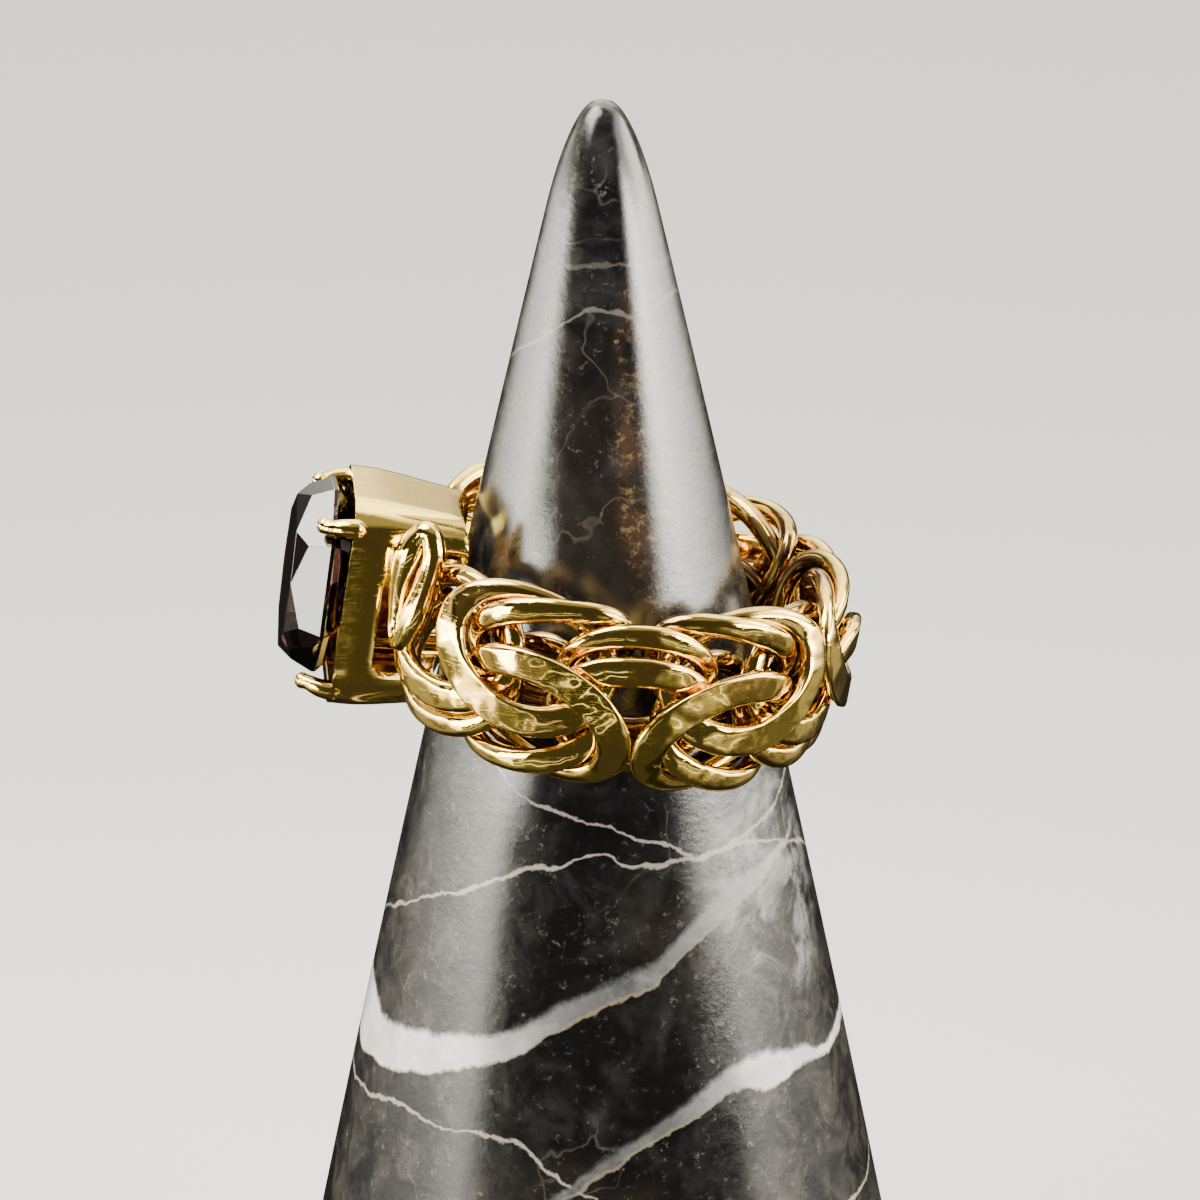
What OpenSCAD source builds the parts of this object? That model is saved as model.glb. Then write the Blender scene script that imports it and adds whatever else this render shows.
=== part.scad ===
// A finger ring of woven gold links with a stone in a box setting, resting on a marble cone.
// The foot of the cone is centred on the origin, +Z is up, and the stone faces -X.

/* [Cone stand] */
// Height of the marble cone
cone_h = 75.4; // [74:0.1:80]
// Radius of the cone's foot
foot_r = 18; // [17:0.5:20]
// Height at which the rounded tip begins
shoulder_h = 70.3; // [69:0.1:71]
// Radius at which the rounded tip begins
shoulder_r = 2.7; // [2.2:0.1:3]
// How far the cone's side swells past a straight line
side_swell = 0.38; // [0:0.02:0.4]
// Radius of the rounded tip
tip_r = 1.6; // [1.2:0.1:2]
// Width of the worn edge round the foot
foot_edge = 0.4; // [0.2:0.1:1]

/* [Place of the ring on the cone] */
// Height of the band's middle above the foot
band_z = 48.7; // [48.7:0.1:52]
// How far the band's middle stands beside the cone's axis, away from the stone
band_x = 0.3; // [0.2:0.1:0.4]
// How far the stone's side of the ring is tipped up, in degrees
stone_rise = 8.7; // [6:0.1:10]
// How far the near side of the ring is tipped down, in degrees
near_dip = 3; // [1:0.1:4]

/* [Band] */
// Radius of the middle of the woven band
band_r = 10.65; // [10.6:0.05:11]
// Radius to which the outer faces of the links are filed
filed_r = 12.65; // [12.5:0.05:12.9]
// Radius of the finger hole through the setting
finger_r = 8.35; // [8.2:0.05:8.5]
// Number of pairs of joining links
pairs = 6; // [6]
// Where the middle of the weave lies, in degrees round from the stone
weave_mid = 170; // [169:0.5:171]
// Length of band from one joining pair to the next
pair_pitch = 9.95; // [9.9:0.05:10]
// Radius at which lengths along the band are measured
length_r = 10.85; // [10.8:0.05:10.9]

/* [Links] */
// Thickness of the links' wire
wire_d = 1.15; // [1:0.05:1.2]
// Share of their thickness that the links keep once pressed toward the band
press = 0.8; // [0.75:0.01:0.85]
// Half the length of a joining link
join_l = 3.7; // [3.6:0.05:3.8]
// Half the height of a joining link
join_h = 2.75; // [2.7:0.05:2.8]
// How far the top of a joining link leans outward
join_lean = 1.1; // [1:0.05:1.2]
// Half the step in height between the two links of a joining pair
join_step = 0.8; // [0.75:0.05:0.85]
// Half the step outward between the two links of a joining pair
join_out = 0.35; // [0.3:0.05:0.4]
// Where a knot link begins, from the middle of its joining pair
knot_near = 1.5; // [1.45:0.05:1.55]
// Where a knot link ends, from the middle of its joining pair
knot_far = 9.2; // [9.15:0.05:9.25]
// Half the height of a knot link
knot_h = 2.7; // [2.65:0.05:2.75]
// How far a knot link leans at its near end
knot_lean_near = 1.65; // [1.6:0.05:1.7]
// How far a knot link leans at its far end
knot_lean_far = 1.15; // [1.1:0.05:1.2]
// Step in height of a knot link's near end from the band's middle
knot_step_near = 1.15; // [1.1:0.05:1.2]
// Step in height of a knot link's far end from the band's middle
knot_step_far = 2.3; // [2.25:0.05:2.35]
// How far a knot link bows back toward the band's middle between its ends
knot_bow = 0.4; // [0.35:0.05:0.45]
// How far out, or in, the far end of a knot link stands
knot_out = 1.55; // [1.5:0.05:1.6]
// How much wider a knot link is at its far end
knot_egg = 0.05; // [0:0.01:0.06]

/* [Setting] */
// How far the setting stands to the far side of the band's middle
head_y = 0.6; // [0.4:0.1:0.8]
// Distance of the setting's rim from the band's middle
rim_x = 13.7; // [13.4:0.1:14]
// Length of the setting's rim, up the finger
rim_l = 10.9; // [10.7:0.1:11]
// Width of the setting's rim, across the finger
rim_w = 8.3; // [8.1:0.1:8.5]
// Depth of the straight collar behind the rim
collar_d = 1.8; // [1.6:0.1:2]
// How much narrower the setting is at its back, on each side
side_taper = 0.9; // [0.7:0.1:1]
// How much shorter the setting is at its back, at each end
end_taper = 0.6; // [0.4:0.1:0.7]
// Corner radius of the rim
corner_r = 1.6; // [1.2:0.1:1.9]
// Thickness of the setting's walls
wall = 0.85; // [0.7:0.05:0.9]
// Worn edge of the rim
rim_edge = 0.15; // [0.1:0.05:0.2]
// Height of the side openings' top above the setting's middle
opening_top = 2.2; // [2:0.1:2.6]
// Height of the side openings' foot
opening_foot = -3.3; // [-3.5:0.1:-3]
// How much further back than the near one the far side opening starts
far_wall_d = 2; // [0:0.1:2.4]
// Thickness of a claw
claw_d = 0.76; // [0.7:0.02:0.8]
// Radius of the round tip of a claw
claw_tip_r = 0.43; // [0.4:0.01:0.45]
// Half the distance between the claw tips, up the finger
claw_l = 4.15; // [4.1:0.05:4.25]
// Half the distance between the claw tips, across the finger
claw_w = 3.2; // [3.15:0.05:3.3]
// How far the claws stand past the rim
claw_reach = 1.45; // [1.3:0.05:1.6]
// Thickness of the soldered end loops' wire
loop_d = 0.85; // [0.8:0.05:0.9]

/* [Stone] */
// Length of the stone, up the finger
stone_l = 9.4; // [9.2:0.1:9.6]
// Width of the stone, across the finger
stone_w = 7.9; // [7.7:0.1:8]
// How much of each corner is cut away, along either side
corner_cut = 2.4; // [2.3:0.05:2.5]
// How far the stone stands above the setting's middle
stone_up = 0.4; // [0.2:0.1:0.5]
// How far the stone is turned in its setting, near side up, in degrees
stone_turn = 8; // [0:0.5:9]
// Height of the stone's widest part above the rim
girdle_up = 0.75; // [0.7:0.05:0.9]
// Thickness of the stone's edge
girdle_t = 0.2; // [0.15:0.05:0.25]
// Height of the stone's faceted top above its edge
crown_h = 1.7; // [1.5:0.05:1.8]
// How far the top's facets lean in, for each millimetre of height
crown_lean = 0.45; // [0.4:0.05:0.6]
// Height of the star facets' corners, as a share of the top's height
star_share = 0.62; // [0.6:0.02:0.7]
// Depth of the stone below its edge
pavilion_h = 3; // [2.8:0.1:3.2]

/* [Hidden] */
// Straight steps round a link, and sides of its wire
link_steps = 16;
wire_sides = 6;
// Straight steps up the cone's side and over its tip
cone_steps = 8;
tip_steps = 5;
// Thickness of the plates that the setting's block is drawn between
thin = 0.01;
// The soldered end loops: middle from the end pair, half sizes, and how they are turned, in degrees
loop_middle = [-1.6, 9.8, 1.9];
loop_half_w = 2.3;
loop_half_h = 3.2;
loop_yaw = 34;
loop_pitch = 7.5;
// How far a claw's root lies inside the wall, below the rim, and up the finger from its tip
claw_root_in = 0.35;
claw_root_down = 1.3;
claw_root_up = 0.25;
claw_bend_up = 0.2;
claw_bend_out = 0.25;
claw_bend_share = 0.45;
claw_root_share = 1.15;
// Where the stone's lower facets meet: drawn in by this share of its width, this share of the way down
step_in_share = 0.2;
step_down_share = 0.42;
// The far bar is this much thicker than the loop's wire, and its foot lies this far behind the hole
bar_share = 1.1;
bar_behind = 0.6;
back_cut = 1.3;
degrees_per_mm = 180 / PI / length_r;
pair_step = pair_pitch * degrees_per_mm;
back_x = finger_r - back_cut;
knots = pairs - 1;

joining_names = [for (pair = [1:pairs], place = [1:2]) str("joining_link_", pair, "_", place)];
knot_names = [for (knot = [1:knots], place = [1:4]) str("knot_link_", knot, "_", place)];

function unit(v) = v / norm(v);

// Angle of a joining pair, round from the stone by way of the near side
function pair_angle(pair) = weave_mid + (pair - (pairs + 1) / 2) * pair_step;

// Pairs take turns: in one the outer strands show at the top of the band, in the next at its foot
function pair_turn(pair) = pair % 2 == 0 ? 1 : -1;

// Centre line of a joining link, as length along the band, distance outward and height
function joining_line(turn, place, t) = [
    join_l * cos(t),
    join_lean * sin(t) + place * join_out,
    turn * (join_h * sin(t) - place * join_step)
];

// Centre line of a knot link, from its near end inside the joining pair to its far end
function knot_line(turn, way, place, t) =
    let (
        reach = (1 - cos(t)) / 2,
        across = sin(t) * (1 - knot_egg * cos(t)),
        bow = 4 * knot_bow * reach * (1 - reach),
        step = knot_step_near + (knot_step_far - knot_step_near) * reach - bow,
        lean = knot_lean_near + (knot_lean_far - knot_lean_near) * reach
    )
    [
        way * (knot_near + (knot_far - knot_near) * reach),
        place * knot_out * reach + lean * across,
        turn * (place * step - knot_h * across)
    ];

// Corners of the wire round one point of its centre line
function wire_corners(here, along, radius) =
    let (
        across = unit(cross(along, [0, 1, 0])),
        rise = unit(cross(across, along))
    )
    [
        for (side = [0:wire_sides - 1])
            let (turn = 360 * side / wire_sides)
                here + radius * (cos(turn) * across + sin(turn) * rise)
    ];

function wire_points(line, radius) = [
    for (step = [0:link_steps - 1])
        let (t = 360 * step / link_steps)
            each wire_corners(line(t), line(t + 1) - line(t - 1), radius)
];

// From length, distance outward and height to the ring's own place, with the outer face filed
function on_band(p, angle) =
    let (
        a = angle + p[0] * degrees_per_mm,
        r = min(filed_r, band_r + press * p[1])
    )
    [-r * cos(a), -r * sin(a), p[2]];

function wire_faces() = [
    for (step = [0:link_steps - 1], side = [0:wire_sides - 1])
        let (
            next = (step + 1) % link_steps,
            beside = (side + 1) % wire_sides,
            a = step * wire_sides + side,
            b = next * wire_sides + side,
            c = next * wire_sides + beside,
            d = step * wire_sides + beside
        )
            each [[a, b, c], [a, c, d]]
];

// Puts the ring's own parts in their place on the cone
module on_cone() {
    translate([band_x, 0, band_z])
        rotate([near_dip, stone_rise, 0])
            children();
}

// Puts what is drawn facing up in the place of the setting, facing the stone's way
module on_head() {
    translate([0, head_y, 0])
        rotate([0, -90, 0])
            children();
}

module closed_wire(line, angle) {
    points = [for (p = wire_points(line, wire_d / 2)) on_band(p, angle)];
    polyhedron(points = points, faces = wire_faces());
}

module cone_stand() {
    side = [
        for (step = [0:cone_steps])
            let (u = step / cone_steps)
                [foot_r + (shoulder_r - foot_r) * u + 4 * side_swell * u * (1 - u), shoulder_h * u]
    ];
    // The worn edge takes the place of the first point
    side_above_edge = [for (step = [1:cone_steps]) side[step]];
    tip = [
        for (step = [1:tip_steps])
            let (a = 90 * step / tip_steps)
                [tip_r * cos(a), cone_h - tip_r + tip_r * sin(a)]
    ];
    color("#1b1a1a")
        rotate_extrude($fn = 96)
            polygon(concat(
                [[0, 0], [foot_r - foot_edge, 0], [foot_r, foot_edge]],
                side_above_edge,
                tip
            ));
}

module joining_link(pair, place) {
    side = place == 1 ? 1 : -1;
    color("#d8b04a")
        on_cone()
            closed_wire(function(t) joining_line(pair_turn(pair), side, t), pair_angle(pair));
}

// Places 1 and 2 hold the pair before the knot, 3 and 4 the pair after it
module knot_link(knot, place) {
    pair = place <= 2 ? knot : knot + 1;
    way = place <= 2 ? 1 : -1;
    side = place % 2 == 1 ? 1 : -1;
    color("#d8b04a")
        on_cone()
            closed_wire(function(t) knot_line(pair_turn(pair), way, side, t), pair_angle(pair));
}

module plate(length, width, radius, height) {
    translate([0, 0, height])
        linear_extrude(thin)
            offset(r = radius, $fn = 24)
                square([length - 2 * radius, width - 2 * radius], center = true);
}

// A block with the setting's outline, drawn in by the same amount all round, with a bevelled rim
module setting_block(inset, edge, front, back) {
    length = rim_l - 2 * inset;
    width = rim_w - 2 * inset;
    radius = corner_r - inset / 2;
    hull() {
        plate(length - 2 * edge, width - 2 * edge, radius - edge / 2, front);
        plate(length, width, radius, front - edge);
        plate(length, width, radius, rim_x - collar_d);
        plate(length - 2 * end_taper, width - 2 * side_taper, radius - side_taper / 3, back);
    }
}

// The end links pass through the near opening, behind the collar. The far one starts further back
module side_openings() {
    near_d = rim_x - collar_d - back_x + 1;
    opening_l = opening_top - opening_foot;
    translate([opening_foot, -rim_w, back_x - 1])
        cube([opening_l, rim_w, near_d]);
    translate([opening_foot, 0, back_x - 1])
        cube([opening_l, rim_w, near_d - far_wall_d]);
}

module claw(up, across) {
    root = [up * (claw_l + claw_root_up), across * (rim_w / 2 - claw_root_in), rim_x - claw_root_down];
    bend = [
        up * (claw_l + claw_bend_up),
        across * (claw_w + claw_bend_out),
        rim_x + claw_reach * claw_bend_share
    ];
    tip = [up * claw_l, across * claw_w, rim_x + claw_reach - claw_tip_r / 2];
    hull() {
        translate(root) sphere(d = claw_d * claw_root_share, $fn = 12);
        translate(bend) sphere(d = claw_d, $fn = 12);
    }
    hull() {
        translate(bend) sphere(d = claw_d, $fn = 12);
        translate(tip) sphere(r = claw_tip_r, $fn = 12);
    }
}

// Centre line of a soldered loop through an end pair, as length along the band, distance outward
// and height from the pair's middle
function loop_line(t) =
    loop_middle
    + loop_half_w * cos(t) * [sin(loop_yaw), cos(loop_yaw), 0]
    + loop_half_h * sin(t) * [
        cos(loop_yaw) * sin(loop_pitch),
        -sin(loop_yaw) * sin(loop_pitch),
        cos(loop_pitch)
    ];

// The near loop is at side 1, and the far one is the same loop turned over
function loop_place(p, side) =
    let (a = side == 1 ? pair_angle(1) : 360 - pair_angle(pairs))
        [
            sin(a) * p[0] - cos(a) * p[1],
            side * (-cos(a) * p[0] - sin(a) * p[1]),
            side * p[2]
        ];

module end_loop(side) {
    points = [for (p = wire_points(function(t) loop_line(t), loop_d / 2)) loop_place(p, side)];
    polyhedron(points = points, faces = wire_faces());
}

// A short bar joins the far loop to the setting, which stands nearer the near side
module far_bar() {
    corner = [
        -finger_r - bar_behind,
        head_y + rim_w / 2 - side_taper - wall / 2,
        opening_foot - wall / 2
    ];
    hull() {
        translate(loop_place(loop_line(150), -1)) sphere(d = loop_d * bar_share, $fn = 12);
        translate(corner) sphere(d = loop_d * bar_share, $fn = 12);
    }
}

module setting() {
    color("#d8b04a")
        on_cone()
            difference() {
                union() {
                    on_head()
                        difference() {
                            union() {
                                setting_block(0, rim_edge, rim_x - thin, back_x);
                                for (up = [-1, 1], across = [-1, 1])
                                    claw(up, across);
                            }
                            setting_block(wall, 0, rim_x + 1, back_x - 1);
                            side_openings();
                        }
                    end_loop(1);
                    end_loop(-1);
                    far_bar();
                }
                cylinder(r = finger_r, h = 4 * rim_l, center = true, $fn = 64);
            }
}

// Corners of the stone's eight sides, where two neighbours drawn in by an inset meet
function side_reach(side) =
    side % 2 == 1 ? (stone_l + stone_w - 2 * corner_cut) / sqrt(8)
    : side % 4 == 0 ? stone_l / 2
    : stone_w / 2;

function stone_corner(side, inset, height) =
    let (
        a = 45 * side,
        reach = side_reach(side) - inset,
        reach_next = side_reach(side + 1) - inset,
        along = (reach_next - reach * cos(45)) / sin(45)
    )
        [reach * cos(a) - along * sin(a), reach * sin(a) + along * cos(a), height];

// Middle of one of the stone's sides, drawn in by an inset
function stone_middle(side, inset, height) =
    let (reach = side_reach(side) - inset)
        [reach * cos(45 * side), reach * sin(45 * side), height];

module stone() {
    edge_z = rim_x + girdle_up;
    crown_z = edge_z + girdle_t;
    star_h = crown_h * star_share;
    step_inset = step_in_share * stone_w;
    keel = (stone_l - stone_w) / 2;
    corners = concat(
        [for (side = [0:7]) stone_corner(side, 0, edge_z)],
        [for (side = [0:7]) stone_corner(side, 0, crown_z)],
        [for (side = [0:7]) stone_corner(side, star_h * crown_lean, crown_z + star_h)],
        [for (side = [0:7]) stone_middle(side, crown_h * crown_lean, crown_z + crown_h)],
        [for (side = [0:7]) stone_corner(side, step_inset, edge_z - step_down_share * pavilion_h)],
        [[keel, 0, edge_z - pavilion_h], [-keel, 0, edge_z - pavilion_h]]
    );
    color("#3a2228")
        on_cone()
            on_head()
                translate([stone_up, 0, 0])
                    rotate([0, 0, stone_turn])
                        hull()
                            polyhedron(
                                points = corners,
                                faces = [for (i = [0:len(corners) - 3]) [i, i + 1, i + 2]]
                            );
}

cone_stand();
setting();
stone();
for (pair = [1:pairs], place = [1:2])
    joining_link(pair, place);
for (knot = [1:knots], place = [1:4])
    knot_link(knot, place);
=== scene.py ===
import math

import bpy
import numpy as np
from mathutils import Matrix, Vector, noise
from mathutils.bvhtree import BVHTree


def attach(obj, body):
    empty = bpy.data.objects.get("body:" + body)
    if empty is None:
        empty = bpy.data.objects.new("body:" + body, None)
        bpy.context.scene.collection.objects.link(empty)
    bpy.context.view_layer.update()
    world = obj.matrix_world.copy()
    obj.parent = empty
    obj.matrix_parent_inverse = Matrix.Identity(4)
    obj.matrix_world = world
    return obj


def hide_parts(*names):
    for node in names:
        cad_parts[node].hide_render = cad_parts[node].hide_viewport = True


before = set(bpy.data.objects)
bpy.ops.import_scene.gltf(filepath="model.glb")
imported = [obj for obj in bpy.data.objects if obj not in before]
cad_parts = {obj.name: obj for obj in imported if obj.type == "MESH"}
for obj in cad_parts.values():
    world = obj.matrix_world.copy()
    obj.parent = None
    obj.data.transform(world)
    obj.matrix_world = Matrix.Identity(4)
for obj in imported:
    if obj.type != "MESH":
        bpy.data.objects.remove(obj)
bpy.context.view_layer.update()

# Every piece is modelled in millimetres and brought to metres when it is put in place
toMetres = Matrix.Scale(0.001, 4)

# The ring's own axis is z, and its stone faces -x. It leans on the cone by these angles
band = {"x": 0.3, "height": 48.7, "rise": 8.7, "dip": 3.0, "radius": 10.65, "filed": 12.65, "finger": 8.35}
ringPlace = (toMetres @ Matrix.Translation((band["x"], 0, band["height"]))
             @ Matrix.Rotation(math.radians(band["rise"]), 4, "Y")
             @ Matrix.Rotation(math.radians(band["dip"]), 4, "X"))


# Work on a piece, as by hand

def chooseOnly(piece):
    bpy.ops.object.select_all(action="DESELECT")
    piece.select_set(True)
    bpy.context.view_layer.objects.active = piece


def selectParts(piece, kind, test):
    bpy.ops.object.mode_set(mode="EDIT")
    bpy.ops.mesh.select_mode(type=kind)
    bpy.ops.mesh.select_all(action="DESELECT")
    bpy.ops.object.mode_set(mode="OBJECT")
    parts = {"FACE": piece.data.polygons, "EDGE": piece.data.edges, "VERT": piece.data.vertices}[kind]
    for part in parts:
        part.select = test(part)
    bpy.ops.object.mode_set(mode="EDIT")


def applyModifier(piece, kind, **values):
    modifier = piece.modifiers.new(kind.lower(), kind)
    for name, value in values.items():
        setattr(modifier, name, value)
    bpy.ops.object.modifier_apply(modifier=modifier.name)


def turnOut(piece):
    chooseOnly(piece)
    bpy.ops.object.mode_set(mode="EDIT")
    bpy.ops.mesh.select_all(action="SELECT")
    bpy.ops.mesh.normals_make_consistent(inside=False)
    bpy.ops.object.mode_set(mode="OBJECT")


def settle(piece, place, material, node, smooth=35):
    # Puts the finished mesh in its place, so that the object itself stays at the origin
    piece.data.transform(place)
    piece.data.update()
    chooseOnly(piece)
    if smooth:
        bpy.ops.object.shade_smooth_by_angle(angle=math.radians(smooth))
    piece.data.materials.clear()
    piece.data.materials.append(material)
    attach(piece, "root")
    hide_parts(node)


def smoothStep(low, high, value):
    share = np.clip((value - low) / (high - low), 0.0, 1.0)
    return share * share * (3 - 2 * share)


# Nodes of the materials

def newMaterial(name):
    material = bpy.data.materials.new(name)
    material.use_nodes = True
    tree = material.node_tree
    shader = next(n for n in tree.nodes if n.type == "BSDF_PRINCIPLED")
    return material, tree, shader


def feed(tree, socket, value):
    if isinstance(value, bpy.types.NodeSocket):
        tree.links.new(value, socket)
    else:
        socket.default_value = value


def sums(tree, operation, *values):
    node = tree.nodes.new("ShaderNodeMath")
    node.operation = operation
    for socket, value in zip(node.inputs, values):
        feed(tree, socket, value)
    return node.outputs[0]


def times(tree, *values):
    made = values[0]
    for value in values[1:]:
        made = sums(tree, "MULTIPLY", made, value)
    return made


def plus(tree, *values):
    made = values[0]
    for value in values[1:]:
        made = sums(tree, "ADD", made, value)
    return made


def noiseAt(tree, vector, scale, detail=4.0, rough=0.5, distortion=0.0, output="Fac"):
    node = tree.nodes.new("ShaderNodeTexNoise")
    feed(tree, node.inputs["Vector"], vector)
    given = {"Scale": scale, "Detail": detail, "Roughness": rough, "Distortion": distortion}
    for name, value in given.items():
        feed(tree, node.inputs[name], value)
    return node.outputs[output]


def spread(tree, value, low, high, outLow=0.0, outHigh=1.0):
    node = tree.nodes.new("ShaderNodeMapRange")
    node.interpolation_type = "SMOOTHSTEP"
    given = {"Value": value, "From Min": low, "From Max": high, "To Min": outLow, "To Max": outHigh}
    for name, number in given.items():
        feed(tree, node.inputs[name], number)
    return node.outputs["Result"]


def mixColour(tree, share, first, second):
    node = tree.nodes.new("ShaderNodeMix")
    node.data_type = "RGBA"
    feed(tree, node.inputs["Factor"], share)
    feed(tree, node.inputs[6], first)
    feed(tree, node.inputs[7], second)
    return node.outputs[2]


def bumpFrom(tree, height, distance, strength, normal=None):
    node = tree.nodes.new("ShaderNodeBump")
    node.inputs["Strength"].default_value = strength
    node.inputs["Distance"].default_value = distance
    feed(tree, node.inputs["Height"], height)
    if normal is not None:
        feed(tree, node.inputs["Normal"], normal)
    return node.outputs["Normal"]


def makeWearGroup():
    # Smudges and hair-fine scratches of a polished thing that is handled, for gold, stone and marble
    tree = bpy.data.node_groups.new("handledPolish", "ShaderNodeTree")
    tree.interface.new_socket(name="Vector", in_out="INPUT", socket_type="NodeSocketVector")
    tree.interface.new_socket(name="Size", in_out="INPUT", socket_type="NodeSocketFloat")
    tree.interface.new_socket(name="Smudges", in_out="OUTPUT", socket_type="NodeSocketFloat")
    tree.interface.new_socket(name="Scratches", in_out="OUTPUT", socket_type="NodeSocketFloat")
    given = tree.nodes.new("NodeGroupInput")
    made = tree.nodes.new("NodeGroupOutput")
    smudges = noiseAt(tree, given.outputs["Vector"], given.outputs["Size"], 5, 0.62)
    lines = None
    for turn in ((0.5, 0.3, 0.9), (1.4, 0.2, -0.6)):
        mapping = tree.nodes.new("ShaderNodeMapping")
        mapping.inputs["Rotation"].default_value = turn
        mapping.inputs["Scale"].default_value = (1, 1, 14)
        feed(tree, mapping.inputs["Vector"], given.outputs["Vector"])
        line = noiseAt(tree, mapping.outputs[0], times(tree, given.outputs["Size"], 2.2), 3, 0.6)
        lines = line if lines is None else sums(tree, "MAXIMUM", lines, line)
    feed(tree, made.inputs["Smudges"], smudges)
    feed(tree, made.inputs["Scratches"], spread(tree, lines, 0.6, 0.78))
    return tree


wearGroup = makeWearGroup()


def addWear(tree, where, size):
    node = tree.nodes.new("ShaderNodeGroup")
    node.node_tree = wearGroup
    node.inputs["Size"].default_value = size
    feed(tree, node.inputs["Vector"], where)
    return node.outputs["Smudges"], node.outputs["Scratches"]


# Yellow gold, polished by wear and softly dented, with painted shade that darkens it down between the links
goldLook = {"bright": (0.95, 0.70, 0.13, 1), "deep": (0.89, 0.55, 0.15, 1), "painted_crevice_shade": (0.18, 0.09, 0.045, 1),
            "linkDents": 0.26, "settingDents": 0.1, "dentDepth": 0.00016, "scratchDepth": 0.000006}


def makeGold(name, dented):
    material, tree, shader = newMaterial(name)
    where = tree.nodes.new("ShaderNodeTexCoord").outputs["Object"]
    depth = tree.nodes.new("ShaderNodeAttribute")
    depth.attribute_name = "depth"
    smudges, scratches = addWear(tree, where, 420)
    metal = mixColour(tree, spread(tree, smudges, 0.35, 0.7), goldLook["bright"], goldLook["deep"])
    # Painted shade: the gold is mixed toward dark brown where the depth attribute says it lies deep between
    # the links
    painted_crevice_shade = times(tree, depth.outputs["Fac"], spread(tree, smudges, 0.3, 0.65, 0.6, 1.0))
    feed(tree, shader.inputs["Base Color"], mixColour(tree, painted_crevice_shade, metal, goldLook["painted_crevice_shade"]))
    shader.inputs["Metallic"].default_value = 1.0
    polish = plus(tree, spread(tree, smudges, 0.35, 0.75, 0.05, 0.15), times(tree, scratches, 0.07))
    feed(tree, shader.inputs["Roughness"], polish)
    hammered = bumpFrom(tree, noiseAt(tree, where, 480, 2, 0.4, 0.5), goldLook["dentDepth"], dented)
    feed(tree, shader.inputs["Normal"], bumpFrom(tree, scratches, goldLook["scratchDepth"], 0.4, hammered))
    return material


gold = makeGold("gold", goldLook["linkDents"])
smoothGold = makeGold("gold_setting", goldLook["settingDents"])
print("stage: gold")

# The links of the band: pairs of joining links, with knots of four longer links between them
weave = {"wire": 1.15, "press": 0.8, "lengthRadius": 10.85, "pairs": 6, "middle": 170.0, "pitch": 9.95,
         "swell": 0.17, "clear": 0.035, "soft": 0.06,
         "stations": 176, "sides": 28}
dents = {"broad": 0.07, "ripple": 0.032, "pit": 0.14, "pitReach": 0.42}
joining = {"length": 3.7, "height": 2.75, "lean": 1.1, "step": 0.8, "out": 0.35}
knot = {"near": 1.5, "far": 9.2, "height": 2.7, "leanNear": 1.65, "leanFar": 1.15,
        "stepNear": 1.15, "stepFar": 2.3, "bow": 0.4, "out": 1.55, "egg": 0.05}
degreesPerMm = 180 / math.pi / weave["lengthRadius"]


def pairAngle(pair):
    return weave["middle"] + (pair - (weave["pairs"] + 1) / 2) * weave["pitch"] * degreesPerMm


def pairTurn(pair):
    return 1 if pair % 2 == 0 else -1


def joiningLine(turn, place, t):
    return np.stack([joining["length"] * np.cos(t),
                     joining["lean"] * np.sin(t) + place * joining["out"],
                     turn * (joining["height"] * np.sin(t) - place * joining["step"])], -1)


def knotLine(turn, way, place, t):
    reach = (1 - np.cos(t)) / 2
    across = np.sin(t) * (1 - knot["egg"] * np.cos(t))
    step = knot["stepNear"] + (knot["stepFar"] - knot["stepNear"]) * reach
    step = step - 4 * knot["bow"] * reach * (1 - reach)
    lean = knot["leanNear"] + (knot["leanFar"] - knot["leanNear"]) * reach
    return np.stack([way * (knot["near"] + (knot["far"] - knot["near"]) * reach),
                     place * knot["out"] * reach + lean * across,
                     turn * (place * step - knot["height"] * across)], -1)


def unit(v):
    return v / np.linalg.norm(v, axis=-1, keepdims=True)


def startWire():
    # One round wire ring, which every link is a copy of
    bpy.ops.object.select_all(action="DESELECT")
    bpy.ops.mesh.primitive_torus_add(major_segments=weave["stations"], minor_segments=weave["sides"],
                                     major_radius=3.0, minor_radius=weave["wire"] / 2)
    return bpy.context.active_object


def weaveLink(angle, lineOf):
    # Where the points of the wire lie in the woven band: angle round the finger, radius and height
    count, sides = weave["stations"], weave["sides"]
    t = np.linspace(0, 2 * math.pi, count, endpoint=False)
    line = lineOf(t)
    along = lineOf(t + 0.01) - lineOf(t - 0.01)
    outer = smoothStep(11.0, 12.0, band["radius"] + weave["press"] * line[:, 1])[:, None]
    across = unit(np.cross(along, np.array([0.0, 1.0, 0.0])))
    rise = unit(np.cross(across, along))
    turn = np.linspace(0, 2 * math.pi, sides, endpoint=False)
    c, s = np.cos(turn)[None, :], np.sin(turn)[None, :]
    power = 1 - 0.4 * outer * (s > -0.3)
    c = np.sign(c) * np.abs(c) ** power * (1 + 0.05 * outer)
    s = np.sign(s) * np.abs(s) ** power
    section = c[..., None] * across[:, None, :] + s[..., None] * rise[:, None, :]
    grid = line[:, None, :] + weave["wire"] / 2 * section
    a = np.radians(angle + grid[..., 0] * degreesPerMm)
    r = band["radius"] + weave["press"] * grid[..., 1]
    # The outside is filed and worn down to one round shape
    soft = weave["soft"]
    r = band["filed"] - soft * np.logaddexp(0, (band["filed"] - r) / soft)
    ca, sa = np.cos(a), np.sin(a)
    points = np.stack([-r * ca, -r * sa, grid[..., 2]], -1)
    side = c[..., None] * across[:, None, :]
    side = np.stack([side[..., 0] * sa - side[..., 1] * ca,
                     -side[..., 0] * ca - side[..., 1] * sa,
                     side[..., 2]], -1)
    return points, side, r


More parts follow.
